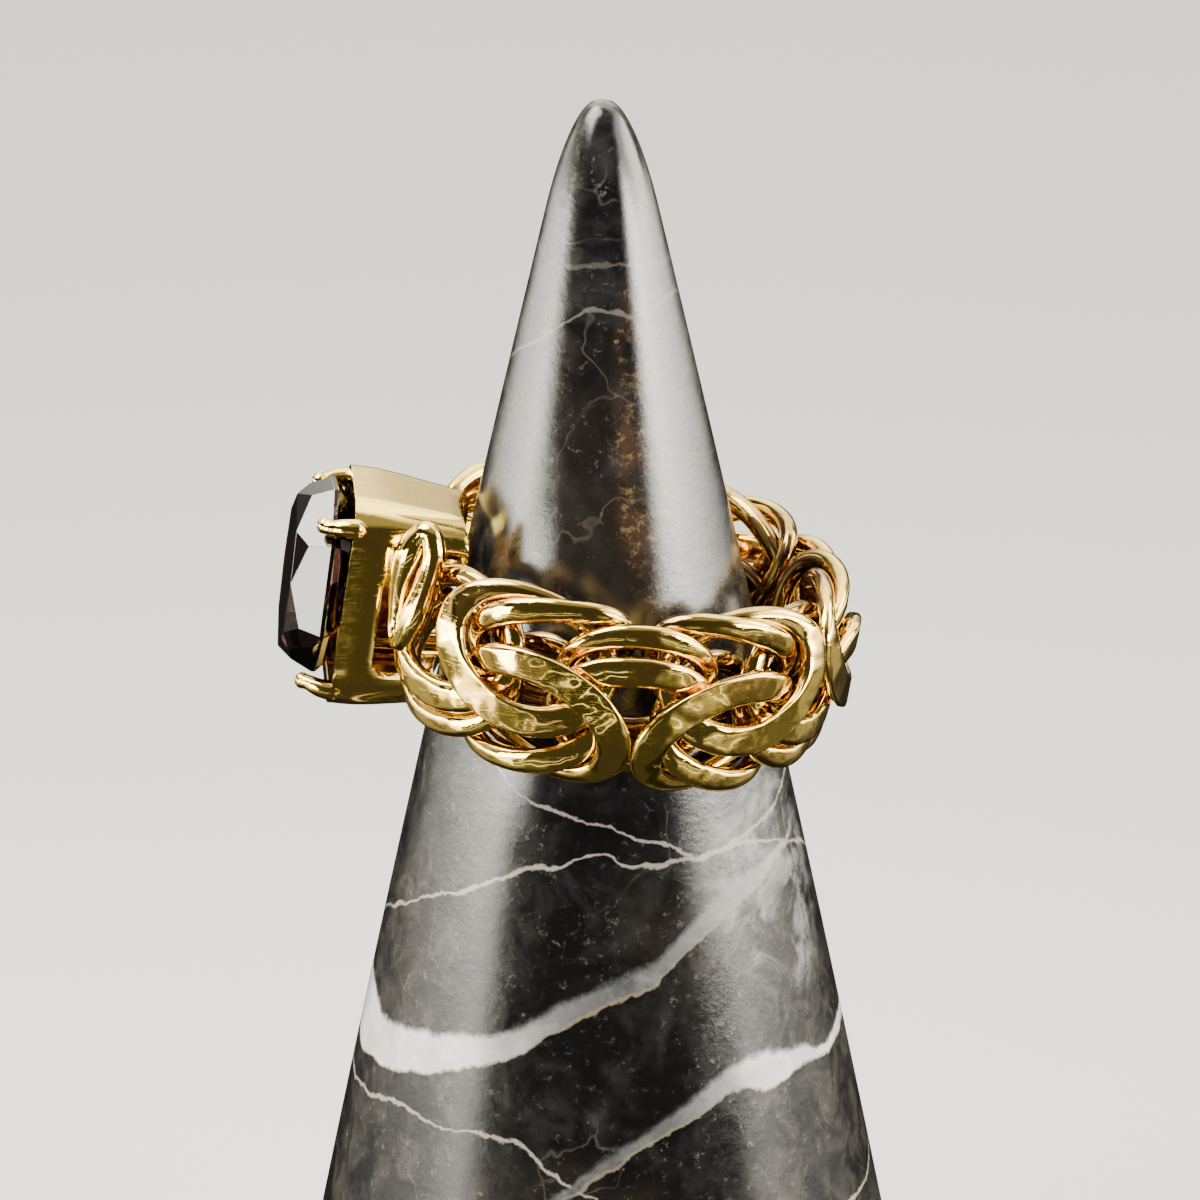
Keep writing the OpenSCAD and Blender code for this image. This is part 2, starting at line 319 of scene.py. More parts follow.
def dentDepth(point):
    p = Vector(point)
    slow = 0.5 + noise.noise(p * 0.7)
    ripple = noise.noise(p * 1.9 + Vector((7, 3, 5)))
    near = noise.voronoi(p * 0.85)[0][0]
    worn = smoothStep(-0.1, 0.25, noise.noise(p * 0.22 + Vector((2, 9, 4))))
    pit = float(worn) * max(0.0, dents["pitReach"] - near)
    return dents["broad"] * slow + dents["ripple"] * ripple + dents["pit"] * pit


def ringFaces(stations, sides):
    k, n = np.arange(sides), (np.arange(sides) + 1) % sides
    quads = []
    for i in range(stations):
        j = (i + 1) % stations
        quads.append(np.stack([i * sides + k, j * sides + k, j * sides + n, i * sides + n], -1))
    return np.concatenate(quads).tolist()


def collectLinks():
    links = {}
    for pair in range(1, weave["pairs"] + 1):
        for number, side in ((1, 1), (2, -1)):
            links[f"joining_link_{pair}_{number}"] = (pairAngle(pair), joiningLine, (pairTurn(pair), side))
    for number in range(1, weave["pairs"]):
        for place in (1, 2, 3, 4):
            pair = number if place <= 2 else number + 1
            way = 1 if place <= 2 else -1
            side = 1 if place % 2 == 1 else -1
            links[f"knot_link_{number}_{place}"] = (pairAngle(pair), knotLine, (pairTurn(pair), way, side))
    return links


def sidewaysRoom(flat, outside, others, shape):
    # Worn wires have spread sideways until they nearly touch their neighbours
    room = np.zeros(len(flat))
    for i in np.nonzero(outside > 0.02)[0]:
        found = [tree.find_nearest(flat[i], 0.5)[3] for tree in others]
        gap = min([distance for distance in found if distance is not None], default=0.5)
        room[i] = min(weave["swell"], max(0.0, (gap - weave["clear"]) / 2))
    room = room.reshape(shape)
    for _ in range(2):
        room = np.minimum(room, 0.5 * room + 0.25 * (np.roll(room, 1, 0) + np.roll(room, -1, 0)))
    return room.reshape(-1)


def makeLinks():
    shapes = {}
    for name, (angle, lineKind, given) in collectLinks().items():
        shapes[name] = weaveLink(angle, lambda t, lineKind=lineKind, given=given: lineKind(*given, t))
    faces = ringFaces(weave["stations"], weave["sides"])
    flats = {name: points.reshape(-1, 3).copy() for name, (points, side, r) in shapes.items()}
    trees = {name: BVHTree.FromPolygons(flat.tolist(), faces) for name, flat in flats.items()}
    first = startWire()
    for name, (points, side, r) in shapes.items():
        flat = flats[name]
        outside = smoothStep(10.9, 12.1, r.reshape(-1))
        others = [trees[o] for o in shapes if o != name
                  and (points.min((0, 1)) - 0.5 < shapes[o][0].max((0, 1))).all()
                  and (points.max((0, 1)) + 0.5 > shapes[o][0].min((0, 1))).all()]
        room = sidewaysRoom(flat, outside, others, points.shape[:2])
        flat += side.reshape(-1, 3) * (room * outside)[:, None]
        push = [max(0.0, dentDepth(point)) if share > 0.02 else 0.0 for point, share in zip(flat, outside)]
        push = np.array(push) * outside
        reach = np.hypot(flat[:, 0], flat[:, 1])
        flat[:, :2] *= ((reach - push) / reach)[:, None]
        piece = bpy.data.objects.new(name + "_wire", first.data.copy())
        bpy.context.scene.collection.objects.link(piece)
        piece.data.vertices.foreach_set("co", flat.astype(np.float32).reshape(-1))
        # The depth attribute marks where shade is painted on the gold: 1 deep inside the band between the
        # links, 0 at its outside
        depth = piece.data.attributes.new("depth", "FLOAT", "POINT")
        depth.data.foreach_set("value", (1 - smoothStep(9.5, 11.9, reach)).astype(np.float32))
        turnOut(piece)
        settle(piece, ringPlace, gold, name, 80)
    bpy.data.objects.remove(first)


makeLinks()
print("stage: links")

# The setting: a tapered box that is open at its back, and on both sides behind its collar
box = {"y": 0.6, "rim": 13.7, "length": 10.9, "width": 8.3, "collar": 1.8, "corner": 2.0, "wall": 0.85,
       "openTop": 2.2, "openFoot": -3.3, "openCorner": 0.9, "farWall": 2.0}
# How far the wall has drawn in on each side, at steps back from the rim, in mm
boxTaper = {"step": (0.5, 0.9, 1.4, 2.0, 2.7, 3.4, 4.1, 4.8, 5.5, 6.2, 7.1),
            "end": (0.0, 0.0, 0.02, 0.07, 0.15, 0.24, 0.33, 0.42, 0.52, 0.62, 0.75),
            "side": (0.0, 0.0, 0.03, 0.1, 0.2, 0.32, 0.45, 0.57, 0.68, 0.78, 0.9)}


def startBlock(size, middle):
    # A block of its full size, left in edit mode
    bpy.ops.object.select_all(action="DESELECT")
    bpy.ops.mesh.primitive_cube_add(size=1)
    bpy.ops.object.mode_set(mode="EDIT")
    bpy.ops.transform.resize(value=size)
    bpy.ops.transform.translate(value=middle)
    return bpy.context.active_object


def edgeSpan(piece, edge, axis):
    a, b = (piece.data.vertices[v].co for v in edge.vertices)
    return abs(a[axis] - b[axis])


def makeBox():
    piece = startBlock((0.12, box["width"], box["length"]), (0.06 - box["rim"], box["y"], 0))
    piece.name = "setting_box"
    selectParts(piece, "EDGE", lambda e: edgeSpan(piece, e, 0) > 0.05)
    bpy.ops.mesh.bevel(offset=box["corner"], segments=12, affect="EDGES")
    selectParts(piece, "FACE", lambda f: f.normal.x > 0.9)
    last = (0.12, 1.0, 1.0)
    for step, end, side in zip(boxTaper["step"], boxTaper["end"], boxTaper["side"]):
        now = (step, 1 - 2 * side / box["width"], 1 - 2 * end / box["length"])
        bpy.ops.mesh.extrude_region_move(TRANSFORM_OT_translate={"value": (now[0] - last[0], 0, 0)})
        bpy.ops.transform.resize(value=(1, now[1] / last[1], now[2] / last[2]),
                                 center_override=(step - box["rim"], box["y"], 0))
        last = now
    bpy.ops.object.mode_set(mode="OBJECT")
    turnOut(piece)
    selectParts(piece, "FACE", lambda f: abs(f.normal.x) > 0.9)
    bpy.ops.mesh.delete(type="ONLY_FACE")
    # Long edges are cut up, so that the openings and the round back have points to meet
    selectParts(piece, "EDGE", lambda e: edgeSpan(piece, e, 1) + edgeSpan(piece, e, 2) > 2.5)
    bpy.ops.mesh.subdivide(number_cuts=11)
    bpy.ops.object.mode_set(mode="OBJECT")
    applyModifier(piece, "SOLIDIFY", thickness=box["wall"], offset=-1, use_even_offset=True)
    collar = box["collar"] - box["rim"]
    for cutter in (makeOpening(-1, collar), makeOpening(1, collar + box["farWall"]), makeFinger()):
        chooseOnly(piece)
        applyModifier(piece, "BOOLEAN", object=cutter, operation="DIFFERENCE", solver="EXACT")
        bpy.data.objects.remove(cutter)
    chooseOnly(piece)
    applyModifier(piece, "BEVEL", width=0.1, segments=3, limit_method="ANGLE", angle_limit=math.radians(38))
    return piece


def makeOpening(side, front):
    back = -4.0
    cutter = startBlock((back - front, 7, box["openTop"] - box["openFoot"]),
                        ((front + back) / 2, box["y"] + side * 3.5, (box["openTop"] + box["openFoot"]) / 2))
    selectParts(cutter, "EDGE", lambda e: edgeSpan(cutter, e, 1) > 5)
    bpy.ops.mesh.bevel(offset=box["openCorner"], segments=6, affect="EDGES")
    bpy.ops.object.mode_set(mode="OBJECT")
    return cutter


def makeFinger():
    bpy.ops.object.select_all(action="DESELECT")
    bpy.ops.mesh.primitive_cylinder_add(vertices=160, radius=band["finger"], depth=30)
    return bpy.context.active_object


def bendRod(name, places, halves, closed=False):
    # A round rod along a curve through these places, with its own half thickness at each
    bpy.ops.object.select_all(action="DESELECT")
    bpy.ops.curve.primitive_bezier_curve_add()
    rod = bpy.context.active_object
    rod.name = name
    spline = rod.data.splines[0]
    spline.bezier_points.add(len(places) - len(spline.bezier_points))
    for bend, place, half in zip(spline.bezier_points, places, halves):
        bend.co = place
        bend.radius = half
        bend.handle_left_type = bend.handle_right_type = "AUTO"
    spline.use_cyclic_u = closed
    spline.resolution_u = 10
    spline.radius_interpolation = "CARDINAL" if closed else "LINEAR"
    rod.data.dimensions = "3D"
    rod.data.bevel_depth = 1.0
    rod.data.bevel_resolution = 6
    rod.data.use_fill_caps = not closed
    chooseOnly(rod)
    bpy.ops.object.convert(target="MESH")
    return bpy.context.active_object


# The claws, by their place on the head in mm from the stone's middle
claw = {"along": 4.15, "across": 3.2, "reach": 1.62, "tip": 0.4, "root": 0.52}


def makeClaw(up, across):
    side = box["width"] / 2
    tip = Vector((-(box["rim"] + claw["reach"] - claw["tip"] / 2),
                  box["y"] + across * claw["across"],
                  up * claw["along"]))
    places = ((-(box["rim"] - 0.8), box["y"] + across * (side - 0.75), up * (claw["along"] + 0.1)),
              (-(box["rim"] - 0.15), box["y"] + across * (side - 0.5), up * (claw["along"] + 0.16)),
              (-(box["rim"] + 0.5), box["y"] + across * (side - 0.52), up * (claw["along"] + 0.12)),
              tip + Vector((0.3, across * 0.18, 0)), tip)
    name = f"claw_{'top' if up > 0 else 'foot'}_{'far' if across > 0 else 'near'}"
    rod = bendRod(name, places, (0.3, claw["root"], 0.47, 0.38, claw["tip"] * 0.96))
    bpy.ops.object.select_all(action="DESELECT")
    bpy.ops.mesh.primitive_uv_sphere_add(segments=24, ring_count=14, radius=claw["tip"])
    ball = bpy.context.active_object
    ball.name = name + "_tip"
    bpy.ops.object.mode_set(mode="EDIT")
    bpy.ops.transform.resize(value=(0.92, 1.0, 1.04))
    bpy.ops.transform.translate(value=tip)
    bpy.ops.object.mode_set(mode="OBJECT")
    return [rod, ball]


# The near end loop, through which the first joining links pass: places and half thickness in mm
nearLoop = {"place": ((-10.23, -4.6, 5.15), (-9.88, -4.95, 4.5), (-9.84, -5.2, 3.46), (-10.0, -5.35, 2.42),
                      (-10.22, -5.4, 1.32), (-10.5, -5.3, 0.2), (-10.8, -4.95, -0.5), (-11.0, -4.4, -0.2),
                      (-11.08, -4.2, 0.97), (-11.1, -4.15, 2.19), (-11.0, -4.2, 3.14), (-10.85, -4.3, 4.0),
                      (-10.6, -4.4, 4.75)),
            "half": (0.56, 0.58, 0.6, 0.68, 0.76, 0.7, 0.55, 0.46, 0.5, 0.62, 0.76, 0.78, 0.64)}
# The far end loop is a plain ring of wire beside the last pair
farLoop = {"along": -1.6, "out": 9.8, "height": 1.9, "width": 2.3, "tall": 3.2,
           "yaw": 34, "pitch": 7.5, "wire": 0.44}


def farLoopPlace(t):
    yaw, pitch = math.radians(farLoop["yaw"]), math.radians(farLoop["pitch"])
    wide, tall = farLoop["width"] * math.cos(t), farLoop["tall"] * math.sin(t)
    along = farLoop["along"] + wide * math.sin(yaw) + tall * math.cos(yaw) * math.sin(pitch)
    out = farLoop["out"] + wide * math.cos(yaw) - tall * math.sin(yaw) * math.sin(pitch)
    height = farLoop["height"] + tall * math.cos(pitch)
    a = math.radians(360 - pairAngle(weave["pairs"]))
    return Vector((math.sin(a) * along - math.cos(a) * out, math.cos(a) * along + math.sin(a) * out, -height))


settingPieces = [makeBox()]
for up in (-1, 1):
    for across in (-1, 1):
        settingPieces += makeClaw(up, across)
settingPieces.append(bendRod("end_loop_near", nearLoop["place"], nearLoop["half"], True))
settingPieces.append(bendRod("end_loop_far", [farLoopPlace(2 * math.pi * k / 14) for k in range(14)],
                             [farLoop["wire"]] * 14, True))
barStart = farLoopPlace(math.radians(150))
barEnd = Vector((-band["finger"] - 0.6, box["y"] + box["width"] / 2 - 1.325, box["openFoot"] - 0.425))
settingPieces.append(bendRod("end_bar_far", (barStart, (barStart + barEnd) / 2, barEnd), (0.42, 0.46, 0.46)))
for piece in settingPieces:
    settle(piece, ringPlace, smoothGold, "setting", 40)
print("stage: setting")

# The stone is cut from a block, one plane for each facet, in mm along, across and out from the ring's middle
gem = {"length": 9.4, "width": 7.9, "cut": 2.4, "up": 0.4, "turn": 8.0, "edge": 14.45, "girdle": 0.2,
       "crown": 1.7, "lean": 0.45, "star": 0.62, "pavilion": 3.0, "step": 1.58, "stepShare": 0.42,
       "worn": 0.018}
gemLook = {"dark": (0.010, 0.005, 0.006, 1), "lit": (0.032, 0.012, 0.010, 1), "index": 1.76}


def gemReach(side):
    if side % 2 == 1:
        return (gem["length"] + gem["width"] - 2 * gem["cut"]) / math.sqrt(8)
    return gem["length"] / 2 if side % 4 == 0 else gem["width"] / 2


def gemCorner(side, inset, height):
    a = math.radians(45 * side)
    reach, after = gemReach(side) - inset, gemReach(side + 1) - inset
    along = (after - reach * math.cos(math.pi / 4)) / math.sin(math.pi / 4)
    return Vector((reach * math.cos(a) - along * math.sin(a),
                   reach * math.sin(a) + along * math.cos(a),
                   height))


def gemMiddle(side, inset, height):
    a = math.radians(45 * side)
    reach = gemReach(side) - inset
    return Vector((reach * math.cos(a), reach * math.sin(a), height))


def cutFacet(place, normal):
    bpy.ops.mesh.select_all(action="SELECT")
    bpy.ops.mesh.bisect(plane_co=place, plane_no=normal, use_fill=True, clear_outer=True)


def cutThrough(a, b, c):
    normal = (b - a).cross(c - a).normalized()
    outward = a - Vector((0, 0, gem["edge"]))
    cutFacet(a, normal if normal.dot(outward) > 0 else -normal)


def makeGem():
    edge, crown = gem["edge"], gem["edge"] + gem["girdle"]
    foot, table = edge - gem["pavilion"], crown + gem["crown"]
    piece = startBlock((gem["length"], gem["width"], table - foot), (0, 0, (table + foot) / 2))
    piece.name = "stone_facets"
    starHeight, stepFall = gem["crown"] * gem["star"], gem["stepShare"] * gem["pavilion"]
    keel = (gem["length"] - gem["width"]) / 2
    for side in range(8):
        a = math.radians(45 * side)
        out = Vector((math.cos(a), math.sin(a), 0))
        if side % 2 == 1:
            cutFacet(out * gemReach(side), out)
        cutFacet(gemMiddle(side, 0, crown), out + Vector((0, 0, gem["lean"])))
        cutFacet(gemMiddle(side, 0, edge), out - Vector((0, 0, gem["step"] / stepFall)))
    inset = gem["crown"] * gem["lean"]
    for side in range(8):
        cutThrough(gemMiddle(side, inset, table),
                   gemMiddle(side + 1, inset, table),
                   gemCorner(side, starHeight * gem["lean"], crown + starHeight))
        cutThrough(gemCorner(side - 1, gem["step"], edge - stepFall),
                   gemCorner(side, gem["step"], edge - stepFall),
                   Vector((keel if side in (7, 0, 1, 2) else -keel, 0, foot)))
    bpy.ops.object.mode_set(mode="OBJECT")
    chooseOnly(piece)
    applyModifier(piece, "BEVEL", width=gem["worn"], segments=2,
                  limit_method="ANGLE", angle_limit=math.radians(4))
    return piece


def makeStone():
    material, tree, shader = newMaterial("dark_stone")
    where = tree.nodes.new("ShaderNodeTexCoord").outputs["Object"]
    smudges, scratches = addWear(tree, where, 500)
    inside = noiseAt(tree, where, 260, 2, 0.5)
    feed(tree, shader.inputs["Base Color"],
         mixColour(tree, spread(tree, inside, 0.4, 0.65), gemLook["dark"], gemLook["lit"]))
    shader.inputs["Transmission Weight"].default_value = 1.0
    shader.inputs["IOR"].default_value = gemLook["index"]
    polish = plus(tree, spread(tree, smudges, 0.4, 0.75, 0.012, 0.05), times(tree, scratches, 0.03))
    feed(tree, shader.inputs["Roughness"], polish)
    return material


stonePlace = (ringPlace @ Matrix.Translation((0, box["y"], gem["up"]))
              @ Matrix(((0, 0, -1, 0), (0, 1, 0, 0), (1, 0, 0, 0), (0, 0, 0, 1)))
              @ Matrix.Rotation(math.radians(gem["turn"]), 4, "Z"))
stonePiece = makeGem()
settle(stonePiece, stonePlace, makeStone(), "stone", 0)
stonePiece.data.polygons.foreach_set("use_smooth", [False] * len(stonePiece.data.polygons))
print("stage: stone")

# The marble cone, in mm: straight sides with a slight swell, and a rounded tip
cone = {"foot": 18.0, "shoulder": 2.7, "shoulderHeight": 70.3, "swell": 0.38, "height": 75.39,
        "edge": 0.3, "around": 160}
coneTip = {"height": (70.3, 71.2, 72.2, 73.15, 74.05, 74.8, 75.25, 75.39),
           "radius": (2.7, 2.46, 2.16, 1.82, 1.42, 0.98, 0.5, 0.0)}


def coneRings():
    rings = [(cone["foot"] - 0.06, cone["edge"]), (cone["foot"] - 0.1, 0.9)]
    for k in range(2, 60):
        u = k / 60
        rings.append((cone["foot"] + (cone["shoulder"] - cone["foot"]) * u + 4 * cone["swell"] * u * (1 - u),
                      cone["shoulderHeight"] * u))
    squares = np.array(coneTip["radius"]) ** 2
    for h in np.linspace(coneTip["height"][0], coneTip["height"][-1], 26)[:-1]:
        rings.append((math.sqrt(float(np.interp(h, coneTip["height"], squares))), float(h)))
    return rings


def makeCone():
    radius, height = cone["foot"] - 0.3, 0.0
    bpy.ops.object.select_all(action="DESELECT")
    bpy.ops.mesh.primitive_circle_add(vertices=cone["around"], radius=radius, fill_type="NGON")
    piece = bpy.context.active_object
    piece.name = "cone_marble"
    bpy.ops.object.mode_set(mode="EDIT")
    bpy.ops.mesh.select_all(action="SELECT")
    for nextRadius, nextHeight in coneRings():
        bpy.ops.mesh.extrude_region_move(TRANSFORM_OT_translate={"value": (0, 0, nextHeight - height)})
        share = nextRadius / radius
        bpy.ops.transform.resize(value=(share, share, 1), center_override=(0, 0, nextHeight))
        radius, height = nextRadius, nextHeight
    bpy.ops.mesh.extrude_region_move(TRANSFORM_OT_translate={"value": (0, 0, cone["height"] - height)})
    bpy.ops.mesh.merge(type="CENTER")
    bpy.ops.object.mode_set(mode="OBJECT")
    turnOut(piece)
    return piece


# Veins that run round the cone: degrees from the near side, height in mm, half width in mm, and whiteness
broadVeins = {
    "upper": {"turn": (-180, -150, -120, -88, -73, -56, -42, -31, -16, -5, 7, 21, 34, 48, 60, 75, 180),
              "height": (33, 31, 29, 28.2, 27.9, 28.3, 29.2, 30.0, 31.8,
                         32.9, 33.9, 35.7, 37.0, 37.8, 38.3, 39, 36),
              "half": (0, 0.3, 1.2, 1.9, 1.3, 1.15, 1.05, 0.85, 0.75, 0.68, 0.66, 0.66, 0.7, 0.5, 0.25, 0, 0),
              "white": (1, 1, 1, 1, 1, 1, 0.85, 0.5, 0.16, 0.05, 0, 0.05, 0.16, 0.3, 0.4, 0.5, 1)},
    "lower": {"turn": (-180, -140, -100, -60, -30, -15, -6, 5, 17, 28, 36, 46, 63, 78, 110, 150, 180),
              "height": (18.5, 16, 15, 17.5, 20.8, 22.9, 24.3, 25.9, 27.3,
                         28.2, 27.9, 27.9, 27.2, 27.6, 26.5, 22, 18.5),
              "half": (0.3, 0.35, 0.5, 0.4, 0.3, 0.35, 0.45, 0.5, 0.65,
                       0.8, 1.05, 0.7, 0.4, 0.5, 0.5, 0.35, 0.3),
              "white": (0.5, 0.5, 0.5, 0.2, 0.05, 0, 0, 0.05, 0.1, 0.5, 1, 1, 0.9, 1, 1, 1, 0.5)},
}
hairVeins = {
    "crossing": {"strong": 0.7,
                 "turn": (-180, -90, -60, -45, -37, -29, -20, -10, -1, 5, 13, 20, 24, 60, 120, 180),
                 "height": (50, 48, 45.6, 44, 43, 42.1, 41.7, 41.2, 40.9,
                            40.4, 40.0, 39.3, 39.2, 40.5, 44, 50)},
    "long": {"strong": 0.7,
             "turn": (-180, -120, -77, -57, -42, -27, -18, -9, -5, 2, 11, 20, 38, 57, 90, 140, 180),
             "height": (30, 31, 34.5, 36.3, 37.5, 38.8, 39.2, 39.7, 39.7,
                        39.1, 39.1, 39.2, 39.2, 38.4, 36, 32, 30)},
    "smoky": {"strong": 0.1, "turn": (-180, -90, -36, -13, 13, 60, 120, 180),
              "height": (68.6, 68.4, 67.8, 68.0, 68.0, 67.6, 68.2, 68.6)},
    "fine": {"strong": 0.2, "turn": (-180, -120, -60, -41, -25, -11, 7, 15, 60, 120, 180),
             "height": (63, 62, 63.9, 64.8, 65.4, 65.8, 65.8, 65.5, 66, 65, 63)},
    "foot": {"strong": 0.7, "turn": (-180, -130, -96, -75, -61, -48, -37, -26, -21, -15, 10, 60, 120, 180),
             "height": (29, 27, 24.8, 24.6, 25.3, 25.1, 25.3, 25.3, 24.6, 23.7, 21, 19, 24, 29)},
}
# The marble's colours, from its black ground to its white veins
marbleLook = {"black": (0.003, 0.003, 0.0032, 1), "cloud": (0.022, 0.022, 0.023, 1),
              "brown": (0.024, 0.018, 0.013, 1), "worn": (0.066, 0.062, 0.05, 1),
              "grain": (0.15, 0.145, 0.13, 1), "stain": (0.05, 0.028, 0.017, 1),
              "rust": (0.26, 0.18, 0.07, 1), "mist": (0.3, 0.3, 0.3, 1), "crack": (0.3, 0.26, 0.22, 1),
              "hair": (0.42, 0.37, 0.33, 1), "ochre": (0.33, 0.25, 0.13, 1),
              "greyVein": ((0.055, 0.057, 0.06, 1), (0.17, 0.17, 0.17, 1)),
              "whiteVein": ((0.5, 0.51, 0.51, 1), (0.75, 0.75, 0.74, 1)), "index": 1.62, "tallest": 75.0}


def curveOf(tree, value, turns, values, most):
    # A value that changes round the cone, from 0 to most
    node = tree.nodes.new("ShaderNodeFloatCurve")
    feed(tree, node.inputs["Value"], value)
    curve = node.mapping.curves[0]
    while len(curve.points) < len(turns):
        curve.points.new(0.5, 0.5)
    for point, turn, number in zip(curve.points, turns, values):
        point.location = ((turn + 180) / 360, number / most)
        point.handle_type = "AUTO_CLAMPED"
    node.mapping.update()
    return times(tree, node.outputs[0], most)


def patchOf(tree, turn, height, turnMiddle, turnReach, heightMiddle, heightReach):
    # A soft round patch on the cone, by its middle and its reach both ways
    a = sums(tree, "DIVIDE", sums(tree, "SUBTRACT", turn, turnMiddle), turnReach)
    b = sums(tree, "DIVIDE", sums(tree, "SUBTRACT", height, heightMiddle), heightReach)
    return spread(tree, plus(tree, times(tree, a, a), times(tree, b, b)), 0.15, 1.0, 1.0, 0.0)


def makeMarble():
    material, tree, shader = newMaterial("marble")
    where = tree.nodes.new("ShaderNodeTexCoord").outputs["Object"]
    smudges, scratches = addWear(tree, where, 300)
    split = tree.nodes.new("ShaderNodeSeparateXYZ")
    feed(tree, split.inputs[0], where)
    x, y, z = split.outputs
    # Degrees round the cone from the near side, and that as a share of the whole turn
    turn = sums(tree, "DIVIDE", sums(tree, "ARCTAN2", x, times(tree, y, -1.0)), math.radians(1))
    share = plus(tree, sums(tree, "DIVIDE", turn, 360.0), 0.5)
    waver = sums(tree, "SUBTRACT", noiseAt(tree, where, 230, 5, 0.6), 0.5)
    fray = sums(tree, "SUBTRACT", noiseAt(tree, where, 1500, 4, 0.7), 0.5)
    height = plus(tree, times(tree, z, 1000.0), times(tree, waver, 1.4), times(tree, fray, 0.5))
    cloud = noiseAt(tree, where, 330, 8, 0.68, 0.5)
    grain = noiseAt(tree, where, 1900, 6, 0.8)
    film = noiseAt(tree, where, 520, 7, 0.72, 0.6)
    broad = noiseAt(tree, where, 95, 3, 0.5)
    # Black ground, clouded with grey and brown, with pale grains
    ground = mixColour(tree, spread(tree, cloud, 0.42, 0.75), marbleLook["black"], marbleLook["cloud"])
    ground = mixColour(tree, spread(tree, broad, 0.5, 0.72, 0.0, 0.5), ground, marbleLook["brown"])
    grains = times(tree, spread(tree, grain, 0.56, 0.72), spread(tree, film, 0.42, 0.6, 0.08, 0.8))
    # From about 18 degrees round from the near side, the sides are mixed toward a greyer colour than the
    # black middle, less so toward the back
    away = sums(tree, "ABSOLUTE", turn)
    sides = times(tree, spread(tree, away, 18.0, 42.0), spread(tree, away, 150.0, 90.0, 0.25, 1.0))
    greyer = times(tree, spread(tree, film, 0.4, 0.66), sides, 0.55)
    ground = mixColour(tree, greyer, ground, marbleLook["worn"])
    colour = mixColour(tree, grains, ground, marbleLook["grain"])
    # Broad veins, grey with white ends and an ochre lower edge
    milk, ochre, whiter = None, None, None
    for shape in broadVeins.values():
        centre = curveOf(tree, share, shape["turn"], shape["height"], marbleLook["tallest"])
        half = curveOf(tree, share, shape["turn"], shape["half"], 4.0)
        above = sums(tree, "SUBTRACT", height, centre)
        inside = sums(tree, "SUBTRACT", half, sums(tree, "ABSOLUTE", above))
        # Its upper edge is soft and its lower edge sharp
        mask = spread(tree, inside, -0.08, spread(tree, above, -0.1, 0.3, 0.14, 0.5))
        rim = spread(tree, sums(tree, "ABSOLUTE", sums(tree, "SUBTRACT", inside, 0.06)), 0.0, 0.14, 1.0, 0.0)
        edge = times(tree, rim, spread(tree, above, 0.0, -0.1))
        white = times(tree, mask, curveOf(tree, share, shape["turn"], shape["white"], 1.0))
        milk = mask if milk is None else sums(tree, "MAXIMUM", milk, mask)
        ochre = edge if ochre is None else sums(tree, "MAXIMUM", ochre, edge)
        whiter = white if whiter is None else sums(tree, "MAXIMUM", whiter, white)
    hair = None
    for shape in hairVeins.values():
        centre = curveOf(tree, share, shape["turn"], shape["height"], marbleLook["tallest"])
        distance = sums(tree, "ABSOLUTE", sums(tree, "SUBTRACT", height, centre))
        half = spread(tree, cloud, 0.35, 0.7, 0.03, 0.15)
        mask = times(tree, spread(tree, sums(tree, "SUBTRACT", half, distance), -0.07, 0.05), shape["strong"])
        hair = mask if hair is None else sums(tree, "MAXIMUM", hair, mask)
    # A net of fine cracks that comes and goes
    shift = tree.nodes.new("ShaderNodeVectorMath")
    shift.operation = "MULTIPLY_ADD"
    feed(tree, shift.inputs[0], noiseAt(tree, where, 190, 3, 0.55, output="Color"))
    shift.inputs[1].default_value = (0.011, 0.011, 0.011)
    feed(tree, shift.inputs[2], where)
    cell = tree.nodes.new("ShaderNodeTexVoronoi")
    cell.feature = "DISTANCE_TO_EDGE"
    cell.inputs["Scale"].default_value = 120
    feed(tree, cell.inputs["Vector"], shift.outputs[0])
    net = times(tree, spread(tree, cell.outputs["Distance"], 0.0, 0.022, 1.0, 0.0),
                spread(tree, noiseAt(tree, where, 85, 4, 0.6), 0.5, 0.66, 0.0, 0.12))
    # A misty patch where the veins meet, and a rusty stain on the near side
    misty = times(tree, patchOf(tree, turn, height, 49.0, 30.0, 37.0, 8.0),
                  spread(tree, cloud, 0.42, 0.66, 0.0, 0.85))
    stain = times(tree, patchOf(tree, turn, height, 15.0, 19.0, 59.5, 9.5),
                  spread(tree, noiseAt(tree, where, 520, 6, 0.7), 0.4, 0.62, 0.0, 0.7))
    rust = times(tree, stain, spread(tree, grain, 0.5, 0.66))
    colour = mixColour(tree, stain, colour, marbleLook["stain"])
    colour = mixColour(tree, rust, colour, marbleLook["rust"])
    colour = mixColour(tree, misty, colour, marbleLook["mist"])
    colour = mixColour(tree, net, colour, marbleLook["crack"])
    colour = mixColour(tree, hair, colour, marbleLook["hair"])
    grey = mixColour(tree, spread(tree, cloud, 0.38, 0.66), *marbleLook["greyVein"])
    white = mixColour(tree, spread(tree, cloud, 0.35, 0.7), *marbleLook["whiteVein"])
    colour = mixColour(tree, milk, colour, mixColour(tree, whiter, grey, white))
    colour = mixColour(tree, times(tree, ochre, 0.45), colour, marbleLook["ochre"])
    feed(tree, shader.inputs["Base Color"], colour)
    # Its polish is duller in a film of wear, at the grains and at smudges
    polish = plus(tree, spread(tree, film, 0.38, 0.68, 0.05, 0.14), spread(tree, grain, 0.5, 0.72, 0.0, 0.1),
                  spread(tree, smudges, 0.5, 0.75, 0.0, 0.06), times(tree, scratches, 0.1))
    feed(tree, shader.inputs["Roughness"], polish)
    shader.inputs["IOR"].default_value = marbleLook["index"]
    feed(tree, shader.inputs["Normal"], bumpFrom(tree, grain, 0.00003, 0.45))
    return material


settle(makeCone(), toMetres, makeMarble(), "cone_stand", 40)
print("stage: cone")


# Floor, lights and camera

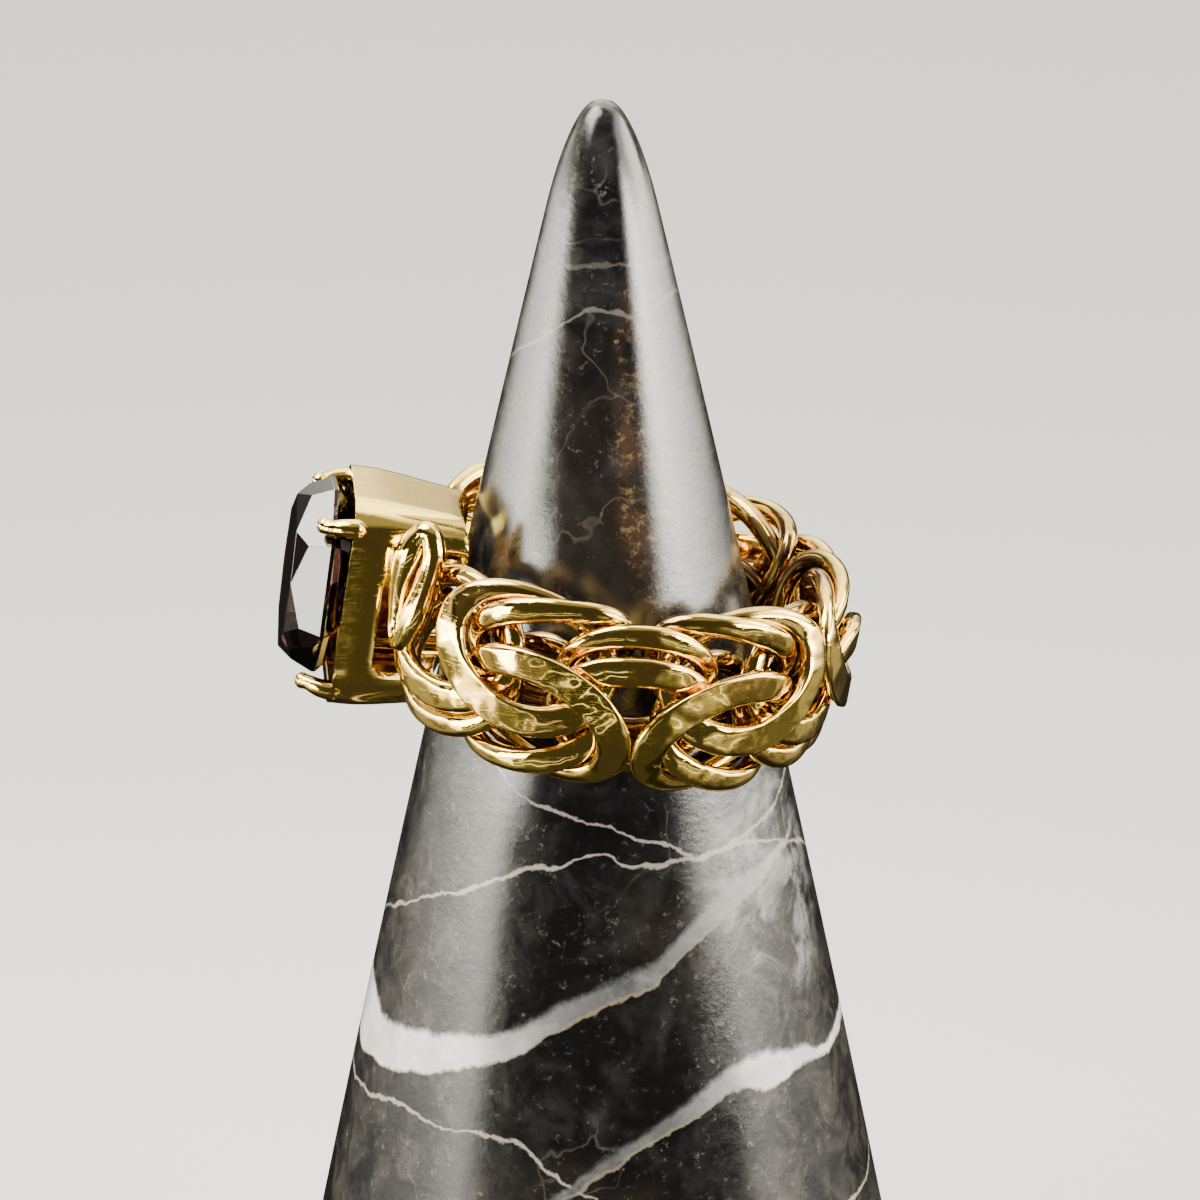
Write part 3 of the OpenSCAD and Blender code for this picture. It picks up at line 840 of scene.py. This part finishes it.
def makeFloor():
    bpy.ops.object.select_all(action="DESELECT")
    bpy.ops.mesh.primitive_plane_add(size=8)
    floor = bpy.context.active_object
    floor.name = "floor"
    material, tree, shader = newMaterial("pale_floor")
    shader.inputs["Base Color"].default_value = (0.62, 0.62, 0.61, 1)
    shader.inputs["Roughness"].default_value = 0.8
    floor.data.materials.append(material)
    # Polished things mirror the dim studio, not the floor
    floor.visible_glossy = False
    floor.visible_transmission = False


# How bright each part of the studio is, its warm colour, and the way to the camera over the floor
studio = {"high": 32.0, "low": 4.4, "glow": 0.9, "table": 0.4, "back": 0.62, "patch": 0.045, "dim": 0.024,
          "ceiling": 3.4, "line": 3.4, "warm": (1.0, 0.97, 0.87, 1), "faceX": -0.1045, "faceY": -0.9945}


def makeStudio():
    # Two broad soft panels left and right of the camera's side, with a dim gap between them
    world = bpy.data.worlds.new("studio")
    bpy.context.scene.world = world
    world.use_nodes = True
    tree = world.node_tree
    background = next(n for n in tree.nodes if n.type == "BACKGROUND")
    split = tree.nodes.new("ShaderNodeSeparateXYZ")
    sky = tree.nodes.new("ShaderNodeTexCoord").outputs["Generated"]
    feed(tree, split.inputs[0], sky)
    x, y, z = split.outputs
    level = sums(tree, "SQRT", plus(tree, times(tree, x, x), times(tree, y, y)))
    front = plus(tree, times(tree, x, studio["faceX"]), times(tree, y, studio["faceY"]))
    front = sums(tree, "DIVIDE", front, sums(tree, "MAXIMUM", level, 0.001))
    # Both panels fade toward the back. The right one begins further round low down, the left one high up
    right = times(tree, spread(tree, x, -0.1, 0.1), spread(tree, z, -0.03, 0.1, 0.18, -0.1))
    left = times(tree, spread(tree, x, 0.1, -0.1), spread(tree, z, 0.03, 0.16, 0.0, 0.3))
    across = times(tree, spread(tree, plus(tree, front, right, left), 0.5, 0.58, 1.0, 0.0),
                   spread(tree, front, -0.95, -0.5, 0.03, 1.0))
    # Their upper edge falls toward the back, and a faint glow stands above it in front
    top = sums(tree, "MAXIMUM", sums(tree, "MULTIPLY_ADD", front, 0.16, 0.085),
               sums(tree, "MULTIPLY_ADD", front, 0.45, 0.03))
    over = sums(tree, "SUBTRACT", z, top)
    foot = spread(tree, front, 0.2, 0.6, 0.14, 0.5)
    upright = times(tree, spread(tree, over, 0.0, 0.025, 1.0, 0.0),
                    spread(tree, plus(tree, z, foot), -0.09, 0.09))
    panel = times(tree, across, upright, spread(tree, z, -0.07, 0.1, studio["low"], studio["high"]))
    glow = times(tree, across, spread(tree, over, 0.0, 0.2), spread(tree, z, 0.5, 0.8, studio["glow"], 0.0),
                 spread(tree, front, -0.4, 0.1))
    cloudy = noiseAt(tree, sky, 2.6, 2, 0.5)
    # The lit table left and right, which only what is upright can mirror
    table = times(tree, spread(tree, front, 0.8, 0.92, studio["table"], 0.0),
                  spread(tree, front, -0.93, -0.5), spread(tree, z, -0.24, -0.12, 1.0, 0.0),
                  spread(tree, z, -0.8, -0.45), spread(tree, cloudy, 0.4, 0.6, 0.35, 1.3))
    # A paler wall at the back, brighter on the left, which only what faces up can mirror
    wall = times(tree, spread(tree, x, -0.12, -0.03, 0.1, 1.0), spread(tree, x, -0.02, 0.4, 4.4, 0.8),
                 spread(tree, front, -0.8, -0.4, 1.0, 0.0), spread(tree, z, 0.06, 0.16, 0.0, studio["back"]),
                 spread(tree, z, 0.5, 0.8, 1.0, 0.0))
    # A lit ceiling, overhead and down to the wall at the back
    high = spread(tree, sums(tree, "MULTIPLY_ADD", front, 0.35, z), -0.02, 0.18, 0.0, studio["ceiling"])
    behind = times(tree, high, spread(tree, front, -0.86, -0.68, 1.0, 0.0), spread(tree, z, 0.28, 0.36))
    overhead = times(tree, spread(tree, z, 0.62, 0.8, 0.0, studio["ceiling"]),
                     spread(tree, front, -0.1, 0.5, 1.0, 0.12))
    ceiling = sums(tree, "MAXIMUM", behind, overhead)
    # The dim room in front, in soft patches
    patch = times(tree, spread(tree, front, 0.4, 0.64),
                  spread(tree, cloudy, 0.38, 0.64, 0.04, studio["patch"]))
    # Two thin bright edges of the table in front, drawn out to wavy lines by the dented gold
    line = None
    for height in (-0.3, -0.46):
        away = sums(tree, "ABSOLUTE", sums(tree, "SUBTRACT", z, height))
        thin = spread(tree, away, 0.003, 0.014, studio["line"], 0.0)
        line = thin if line is None else sums(tree, "MAXIMUM", line, thin)
    line = times(tree, line, sums(tree, "MAXIMUM", spread(tree, x, 0.06, -0.03), spread(tree, x, 0.34, 0.45)),
                 spread(tree, front, 0.3, 0.55))
    feed(tree, background.inputs["Strength"],
         plus(tree, studio["dim"], ceiling, patch, table, wall, panel, glow, line))
    background.inputs["Color"].default_value = studio["warm"]


# Area lamps: place and aim in metres, size in metres, power in watts
lamps = {
    "top_box": {"place": (0.0, 0.25, 0.6), "aim": (0, 0.2, 0), "size": (0.7, 0.5), "power": 2.2},
    "left_box": {"place": (-0.075, -0.012, 0.187), "aim": (-0.015, 0, 0.05),
                 "size": (0.11, 0.11), "power": 0.7},
    "front_left_box": {"place": (-0.032, -0.0211, 0.0502), "aim": (-0.0148, -0.003, 0.0518),
                       "size": (0.012, 0.014), "power": 0.0105},
    "tip_left_box": {"place": (-0.055, 0.028, 0.081), "aim": (0, 0, 0.071),
                     "size": (0.045, 0.014), "power": 0.007},
    "tip_right_box": {"place": (0.0615, 0.0031, 0.09), "aim": (0, 0, 0.071),
                      "size": (0.045, 0.03), "power": 0.04},
    "right_box": {"place": (0.17, -0.03, 0.15), "aim": (0, -0.03, 0.1), "size": (0.2, 0.14), "power": 0.4},
}


def addLight(name, place, aim, size, power):
    bpy.ops.object.select_all(action="DESELECT")
    bpy.ops.object.light_add(type="AREA", location=place)
    lamp = bpy.context.active_object
    lamp.name = name
    lamp.data.shape = "RECTANGLE"
    lamp.data.size, lamp.data.size_y = size
    lamp.data.energy = power
    lamp.data.color = studio["warm"][:3]
    lamp.rotation_euler = (Vector(aim) - Vector(place)).to_track_quat("-Z", "Y").to_euler()
    lamp.visible_camera = False


# The photograph's viewing angle in degrees, its scale in pixels per mm, and where the ring's middle is in it
camera = {"lift": 18.9, "turn": 6.0, "scale": 19.8, "distance": 230.0, "ringX": 608.1, "ringY": 617.2,
          "picture": 1200}


def makeCamera():
    lift, turn = math.radians(camera["lift"]), math.radians(camera["turn"])
    right = Vector((math.cos(turn), -math.sin(turn), 0))
    forward = Vector((math.sin(turn) * math.cos(lift), math.cos(turn) * math.cos(lift), -math.sin(lift)))
    up = right.cross(forward)
    middle = camera["picture"] / 2
    place = (Vector((band["x"], 0, band["height"])) - forward * camera["distance"]
             - right * (camera["ringX"] - middle) / camera["scale"]
             + up * (camera["ringY"] - middle) / camera["scale"])
    bpy.ops.object.select_all(action="DESELECT")
    bpy.ops.object.camera_add(location=place * 0.001)
    view = bpy.context.active_object
    view.data.sensor_fit = "HORIZONTAL"
    view.data.sensor_width = 36
    view.data.lens = camera["scale"] * camera["distance"] / camera["picture"] * 36
    view.data.clip_start = 0.01
    view.rotation_euler = Matrix((right, up, -forward)).transposed().to_euler()
    bpy.context.scene.camera = view


makeFloor()
makeStudio()
for name, lamp in lamps.items():
    addLight(name, **lamp)
makeCamera()
print("stage: floor, light and camera")
